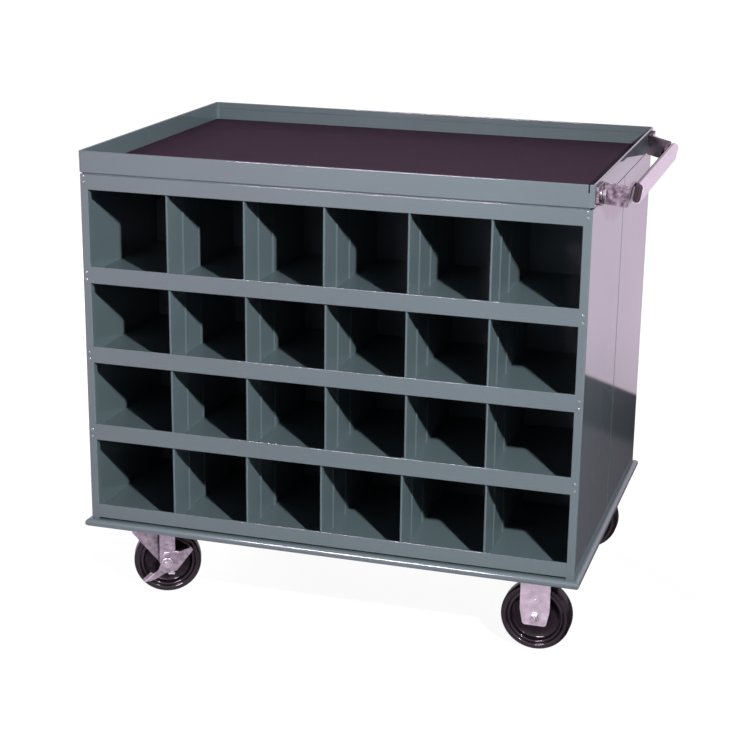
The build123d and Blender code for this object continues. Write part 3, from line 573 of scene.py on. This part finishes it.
def tube_shoulder(plate):
    """Painted shade on the grip: dark along its upper shoulder, on the side of the cart."""
    leaned = plate.turned_place(centre_of("handle_tube"), handle_tilt, "Y")
    inner = plate.spread(plate.part(leaned, "X"), shoulder_dark, shoulder_light, shoulder_shade, 0.0)
    return inner * plate.spread(plate.part(leaned, "Z"), shoulder_low, shoulder_high)


upright_grain = (1.0, 1.0, 9.0)
tube_grain = (1.0, 12.0, 1.0)
bar_grain = (3.0, 1.0, 1.0)
cabinet_paint = enamel("cabinet_enamel", tone(92, 108, 112))
# Bin insides: the cabinet's enamel a little darker and with a weak coat, as painted shade
inner_paint = enamel("inner_enamel", tone(90, 106, 110), coat=0.2, coat_roughness=0.10)
side_paint = enamel("side_enamel", tone(92, 108, 112), ripple=0.9)
# Base pan: the cabinet's enamel a little lighter, as painted light, with a weaker, rougher coat
base_paint = enamel("base_enamel", tone(96, 113, 117), ripple=0.2, coat=0.85, coat_roughness=0.09)
# Rivet heads: the cabinet's enamel made lighter, as a painted highlight, with a stronger, rougher coat
rivet_paint = enamel("rivet_enamel", tone(108, 124, 129), ripple=0.0, coat_roughness=0.18, coat_ior=2.2)
plated = zinc("zinc_plate", tone(160, 156, 160), tone(214, 210, 214), 0.30, upright_grain)
# Rigid forks: a lighter copy of the zinc plate, as painted light
bright_plate = zinc("bright_plate", tone(206, 202, 206), tone(228, 225, 228), 0.34, upright_grain)
# Front bracket: a darker copy of the zinc plate, as a painted dark reflection
bar_plate = zinc("bar_plate", tone(96, 86, 94), tone(180, 170, 178), 0.30, bar_grain, 120.0)
# Rear bracket: a darker copy of the zinc plate, with painted shade towards its top
rear_bar_plate = zinc(
    "rear_bar_plate", tone(140, 124, 136), tone(166, 152, 164), 0.52, bar_grain, shade=towards_top
)
# Grip: zinc plate with painted shade along its upper shoulder
tube_plate = zinc(
    "tube_plate", tone(214, 211, 214), tone(238, 235, 238), 0.20, tube_grain, shade=tube_shoulder
)
# Fasteners: a lighter, glossier copy of the zinc plate, as a painted highlight
bolt_zinc = zinc("bolt_zinc", tone(186, 182, 186), tone(222, 218, 222), 0.20)
black_zinc = zinc("black_zinc", tone(26, 24, 26), tone(44, 41, 44), 0.45)
bearing_steel = zinc("bearing_steel", tone(176, 172, 178), tone(206, 202, 208), 0.14)
plug_plastic = end_plug_finish()

finishes = {
    "enamel": cabinet_paint,
    "painted_rivet": rivet_paint,
    "mat": rubber_finish(),
    "plated_steel": plated,
    "plated_tube": tube_plate,
    "fastener": bolt_zinc,
    "bearing": bearing_steel,
    "bushing": bearing_steel,
    "wheel": phenolic(),
}
special_finishes = {
    "base_pan": base_paint,
    "front_back_panel": inner_paint,
    "rear_back_panel": inner_paint,
    "rear_dividers": inner_paint,
    "rigid_front_fork": bright_plate,
    "rigid_rear_fork": bright_plate,
    "handle_bracket_front": bar_plate,
    "handle_bracket_rear": rear_bar_plate,
    "handle_screws": black_zinc,
    "unit_bolts": black_zinc,
    "base_bolts": black_zinc,
}
for unit in ("front", "rear"):
    for end in ("left", "right"):
        special_finishes[f"{unit}_side_{end}"] = side_paint
for row in range(1, 5):
    special_finishes[f"front_shelf_{row}"] = inner_paint
    special_finishes[f"rear_shelf_{row}"] = inner_paint
    special_finishes[f"front_dividers_row_{row}"] = inner_paint
# Swivel forks get painted shade beside the strip; foot levers get painted highlights along the fold and
# on the tab
for caster in swivel_casters:
    special_finishes[caster + "_fork"] = zinc(
        caster + "_plate", tone(150, 146, 150), tone(206, 202, 206), 0.30, upright_grain, 110.0,
        shade=beside_strip(caster),
    )
    special_finishes[caster + "_brake_lever"] = zinc(
        caster + "_lever_plate", tone(138, 134, 138), tone(196, 192, 196), 0.28, upright_grain, 110.0,
        line=along_fold(caster),
    )
for name, node in frame["nodes"].items():
    node.data.materials.clear()
    node.data.materials.append(special_finishes.get(name, finishes[slot_of[name]]))


# Pieces with finer forms than the frame's own


def body_of(node):
    """Name of the body that a node rides on."""
    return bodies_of(frame["nodes"][node])[0]


def hub_place(caster):
    """Frame of a caster's hub: X along its heading, Y along the axle."""
    heading = swivel_heading if caster in swivel_casters else 0.0
    turn = Matrix.Rotation(radians(heading), 4, "Z")
    return Matrix.Translation(centre_of(caster + "_wheel")) @ turn


def add(name, mesh, finish, body, smooth_angle=shade_angle):
    """Makes a mesh a piece with a finish, which moves with a body."""
    bmesh.ops.recalc_face_normals(mesh, faces=mesh.faces)
    for face in mesh.faces:
        face.smooth = True
    for edge in mesh.edges:
        if len(edge.link_faces) == 2 and edge.calc_face_angle(0.0) > radians(smooth_angle):
            edge.smooth = False
    data = bpy.data.meshes.new(name)
    mesh.to_mesh(data)
    mesh.free()
    piece = bpy.data.objects.new(name, data)
    bpy.context.scene.collection.objects.link(piece)
    data.materials.append(finish)
    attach(piece, body)
    return piece


def put(name, mesh, node, smooth_angle=shade_angle):
    """Makes a mesh a piece that stands for a node and moves with its body."""
    finish = frame["nodes"][node].data.materials[0]
    piece = add(name, mesh, finish, body_of(node), smooth_angle)
    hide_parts(node)
    return piece


def round_edges(mesh, radius):
    """Rounds the sharp edges of a mesh."""
    sharp = [edge for edge in mesh.edges if edge.calc_face_angle(0.0) > radians(sharp_angle)]
    bmesh.ops.bevel(
        mesh, geom=sharp, offset=radius, offset_type="OFFSET", segments=edge_steps, profile=0.5,
        affect="EDGES", clamp_overlap=True, material=-1,
    )


def soften(node, radius):
    """A node's own form with its sharp edges rounded and its flat faces shaded flat."""
    mesh = bmesh.new()
    mesh.from_mesh(frame["nodes"][node].data)
    bmesh.ops.remove_doubles(mesh, verts=mesh.verts, dist=weld_gap)
    bmesh.ops.dissolve_limit(
        mesh, angle_limit=radians(flat_angle), use_dissolve_boundaries=False,
        verts=mesh.verts, edges=mesh.edges, delimit={"NORMAL"},
    )
    round_edges(mesh, radius)
    bmesh.ops.remove_doubles(mesh, verts=mesh.verts, dist=weld_gap)
    piece = put(node + "_soft", mesh, node, round_shade_angle)
    level = piece.modifiers.new("level_faces", "WEIGHTED_NORMAL")
    level.keep_sharp = True


def turned(stations, segments):
    """A closed ring turned about Y through stations of (radius, place along the axis)."""
    mesh = bmesh.new()
    radius, place = stations[0]
    upright = Matrix.Rotation(pi / 2, 4, "X")
    made = bmesh.ops.create_circle(mesh, segments=segments, radius=radius, matrix=upright)
    bmesh.ops.translate(mesh, verts=made["verts"], vec=(0, place, 0))
    edges = list({edge for vert in made["verts"] for edge in vert.link_edges})
    for next_radius, next_place in (*stations[1:], stations[0]):
        made = bmesh.ops.extrude_edge_only(mesh, edges=edges)
        verts = [part for part in made["geom"] if isinstance(part, bmesh.types.BMVert)]
        edges = [part for part in made["geom"] if isinstance(part, bmesh.types.BMEdge)]
        share = next_radius / radius
        bmesh.ops.scale(mesh, verts=verts, vec=(share, 1, share))
        bmesh.ops.translate(mesh, verts=verts, vec=(0, next_place - place, 0))
        radius, place = next_radius, next_place
    bmesh.ops.remove_doubles(mesh, verts=mesh.verts, dist=weld_gap)
    return mesh


def wheel_side():
    """Stations of one side of a wheel, from the bore to the tread."""
    return [
        (bore_radius, hub_half), (hub_radius - hub_round, hub_half), (hub_radius, hub_half - hub_round),
        (hub_radius + hub_round, web_half + hub_fillet_height), (hub_radius + hub_fillet, web_half),
        (web_end_share * wheel_radius, web_half), (web_rise_share * wheel_radius, web_half + web_rise),
        *((share * wheel_radius, wheel_half - depth) for share, depth in rim_stations),
    ]


def make_wheel(caster):
    """One-piece hard wheel with two rounded ridges on each side."""
    outer_side = wheel_side()
    inner_side = [(radius, -place) for radius, place in reversed(outer_side)]
    mesh = turned(outer_side + inner_side, wheel_segments)
    ridge = mesh.verts.layers.float.new("ridge")
    for vert in mesh.verts:
        share = Vector((vert.co.x, vert.co.z)).length / wheel_radius
        vert[ridge] = 1.0 if ridge_shares[0] < share < ridge_shares[1] else 0.0
    bmesh.ops.transform(mesh, matrix=hub_place(caster), verts=mesh.verts)
    put(caster + "_disc", mesh, caster + "_wheel", round_shade_angle)


def make_lever(caster):
    """Foot lever: a plate with one wing flared, the other with a turned edge, and a stop tab."""
    mesh = bmesh.new()
    verts = [mesh.verts.new((u * lever_reach, -lever_face, w * lever_reach)) for u, w in lever_shares]
    mesh.faces.new(verts)
    turned_edge = [verts[point] for point in turned_edge_points]
    for ends, shift in (((verts[-1], verts[0]), flare_shift), (turned_edge, turned_edge_shift)):
        made = bmesh.ops.extrude_edge_only(mesh, edges=[mesh.edges.get(ends)])
        moved = [part for part in made["geom"] if isinstance(part, bmesh.types.BMVert)]
        bmesh.ops.translate(mesh, verts=moved, vec=shift)
        middle = (moved[0].co + moved[1].co) / 2
        inset = (edge_inset_share, edge_inset_share, edge_inset_share)
        bmesh.ops.scale(mesh, verts=moved, vec=inset, space=Matrix.Translation(-middle))
    bmesh.ops.recalc_face_normals(mesh, faces=mesh.faces)
    bmesh.ops.solidify(mesh, geom=mesh.faces[:], thickness=lever_sheet)
    tab = Matrix.Translation(tab_place) @ Matrix.Diagonal((*tab_size, 1.0))
    bmesh.ops.create_cube(mesh, size=1.0, matrix=tab)
    round_edges(mesh, lever_edge_round)
    bmesh.ops.transform(mesh, matrix=hub_place(caster), verts=mesh.verts)
    put(caster + "_foot_lever", mesh, caster + "_brake_lever")


def make_nut_flange(caster):
    """Round flange under the axle nut, turned with a rounded rim."""
    mesh = turned(flange_stations, flange_segments)
    bmesh.ops.transform(mesh, matrix=hub_place(caster), verts=mesh.verts)
    add(caster + "_nut_flange", mesh, bolt_zinc, body_of(caster + "_axle"))


def plug_face():
    """Flat oval of the grip's bore, drawn from a circle and cut into upright strips."""
    mesh = bmesh.new()
    radius = tube_bore_width / 2
    upright = Matrix.Rotation(pi / 2, 4, "X")
    made = bmesh.ops.create_circle(
        mesh, cap_ends=True, segments=plug_segments, radius=radius, matrix=upright
    )
    stretch = (tube_bore_height - tube_bore_width) / 2
    for vert in made["verts"]:
        vert.co.z += stretch if vert.co.z > 0 else -stretch
    cuts = 2 * plug_ribs
    pitch = tube_bore_width / (cuts + 1)
    for line in range(cuts):
        place = (-radius + (line + 1) * pitch, 0, 0)
        geometry = [*mesh.verts, *mesh.edges, *mesh.faces]
        bmesh.ops.bisect_plane(mesh, geom=geometry, plane_co=place, plane_no=(1, 0, 0), dist=cut_gap)
    return mesh, pitch


def make_end_plug(name, side):
    """Ribbed plug in one end of the grip; side is -1 at the front and 1 at the rear."""
    mesh, pitch = plug_face()
    bmesh.ops.solidify(mesh, geom=mesh.faces[:], thickness=plug_depth)
    bmesh.ops.recalc_face_normals(mesh, faces=mesh.faces)
    front = side * max(side * vert.co.y for vert in mesh.verts)
    outer = [face for face in mesh.faces if side * face.normal.y > outward_share]
    outer.sort(key=lambda face: face.calc_center_median().x)
    # Marks the grooves, where the plug's finish paints shade
    groove_shade = mesh.verts.layers.float.new("groove_shade")
    for strip in outer[1::2]:
        inset = pitch * rib_inset_share
        bmesh.ops.inset_individual(mesh, faces=[strip], thickness=inset, depth=-rib_depth)
        for vert in strip.verts:
            vert[groove_shade] = 1.0
    place = centre_of("handle_tube")
    tube_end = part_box("handle_tube")[1 if side > 0 else 0][1]
    place.y = tube_end - side * plug_recess - front
    turn = Matrix.Rotation(radians(handle_tilt), 4, "Y")
    bmesh.ops.transform(mesh, matrix=Matrix.Translation(place) @ turn, verts=mesh.verts)
    add(name, mesh, plug_plastic, body_of("handle_tube"), plug_shade_angle)


for caster in all_casters:
    make_wheel(caster)
for caster in swivel_casters:
    make_lever(caster)
    make_nut_flange(caster)
make_end_plug("grip_plug_front", -1)
make_end_plug("grip_plug_rear", 1)
for node_name, edge_radius in soft_edges.items():
    soften(node_name, edge_radius)


# Surroundings


def mirrored_floor(floor):
    """Strength of the floor as what shines sees it: a lit room with a dark stretch."""
    across, along = (floor.part(floor.place(), axis) for axis in "XY")
    reach = floor.node("VectorMath", {"operation": "LENGTH"}, {0: floor.place()}, output="Value")
    lit = floor.spread(reach, near_reach, far_reach, near_strength, room_strength)
    lit = lit * floor.spread(across, left_start, left_end, left_gain, 1.0)
    edge = along - across * dark_edge_slope
    beyond = floor.spread(edge, dark_edge - dark_edge_softness, dark_edge + dark_edge_softness)
    stepped = floor.spread(
        edge, dark_step - dark_step_softness, dark_step + dark_step_softness,
        dark_near_strength, dark_strength,
    )
    off_middle = abs(across - dark_middle)
    aside = floor.spread(
        off_middle, dark_half_width - dark_side_softness, dark_half_width + dark_side_softness
    )
    dark = floor.spread(along, dark_start, dark_full) * (1.0 - beyond) * (1.0 - aside)
    return (lit * (1.0 - dark) + stepped * dark) * floor.first_bounce(floor_bounces)


def floor_shader():
    """Floor that shows white, keeps a soft shadow and is seen as a lit room in what shines."""
    floor = Shader("pale_floor")
    grey = floor.node("BsdfDiffuse", {}, {"Color": floor_grey})
    reach = floor.node("VectorMath", {"operation": "LENGTH"}, {0: floor.place()}, output="Value")
    brightness = floor.spread(
        reach, white_near_reach, white_far_reach, floor_white_near, floor_white_far
    )
    bright = floor.node("Emission", {}, {"Color": white, "Strength": brightness})
    room = floor.node("Emission", {}, {"Color": room_colour, "Strength": mirrored_floor(floor)})
    white_share = floor.ray("Is Camera Ray") * floor_white_share + floor.ray("Is Transmission Ray")
    seen = floor.choose(white_share, grey, bright)
    surface = floor.choose(floor.ray("Is Glossy Ray"), seen, room)
    floor.node("OutputMaterial", {}, {"Surface": surface})
    return floor.block


def make_floor():
    """Wide floor under the wheels."""
    mesh = bmesh.new()
    bmesh.ops.create_grid(mesh, x_segments=1, y_segments=1, size=floor_size)
    data = bpy.data.meshes.new("floor")
    mesh.to_mesh(data)
    mesh.free()
    floor = bpy.data.objects.new("floor", data)
    bpy.context.scene.collection.objects.link(floor)
    data.materials.append(floor_shader())


def make_world():
    """White to the camera, the room to what shines, and a low even light on the rest."""
    sky = Shader("studio", world=True)
    dim = sky.node("Background", {}, {"Color": sky_colour, "Strength": sky_light})
    bright = sky.node("Background", {}, {"Color": white, "Strength": 1.0})
    glow = sky.first_bounce(sky_bounces) * room_strength
    room = sky.node("Background", {}, {"Color": room_colour, "Strength": glow})
    seen = sky.choose(sky.ray("Is Camera Ray") + sky.ray("Is Transmission Ray"), dim, bright)
    surface = sky.choose(sky.ray("Is Glossy Ray"), seen, room)
    sky.node("OutputWorld", {}, {"Surface": surface})
    bpy.context.scene.world = sky.block


def light_up(name, kind, power, colour, place, target):
    """Puts a lamp at a place, turned to a target."""
    data = bpy.data.lights.new(name, kind)
    data.energy = power
    data.color = colour
    lamp = bpy.data.objects.new(name, data)
    lamp.location = place
    lamp.rotation_euler = (Vector(target) - Vector(place)).to_track_quat("-Z", "Y").to_euler()
    bpy.context.scene.collection.objects.link(lamp)
    return lamp


def make_lamps():
    """The key lamp, whose beam fades from the left end to the right, the soft glow and the fill."""
    key = light_up("key_lamp", "SPOT", key_power, lamp_colour, key_place, key_target)
    key.data.shadow_soft_size = key_radius
    key.data.spot_size = radians(key_cone)
    key.data.spot_blend = 1.0
    glow = light_up("soft_glow", "AREA", glow_power, room_colour[:3], glow_place, glow_target)
    glow.data.shape = "RECTANGLE"
    glow.data.size = glow_width
    glow.data.size_y = glow_height
    glow.visible_diffuse = False
    fill = light_up("back_fill", "AREA", fill_power, lamp_colour, fill_place, fill_target)
    fill.data.shape = "DISK"
    fill.data.size = fill_size
    fill.visible_glossy = False


def make_camera():
    """Camera at the photograph's angle, with the photograph's perspective."""
    data = bpy.data.cameras.new("view_camera")
    data.sensor_width = sensor_width
    data.lens = sensor_width * focal_pixels / photo_pixels
    data.clip_end = view_depth
    camera = bpy.data.objects.new("view_camera", data)
    turn = Matrix.Rotation(radians(camera_yaw), 4, "Z")
    tilt_down = Matrix.Rotation(radians(90 - camera_pitch), 4, "X")
    roll = Matrix.Rotation(radians(camera_roll), 4, "Z")
    camera.matrix_world = Matrix.Translation(camera_place) @ turn @ tilt_down @ roll
    bpy.context.scene.collection.objects.link(camera)
    bpy.context.scene.camera = camera


make_floor()
make_world()
make_lamps()
make_camera()
bpy.context.scene.view_settings.view_transform = "Standard"
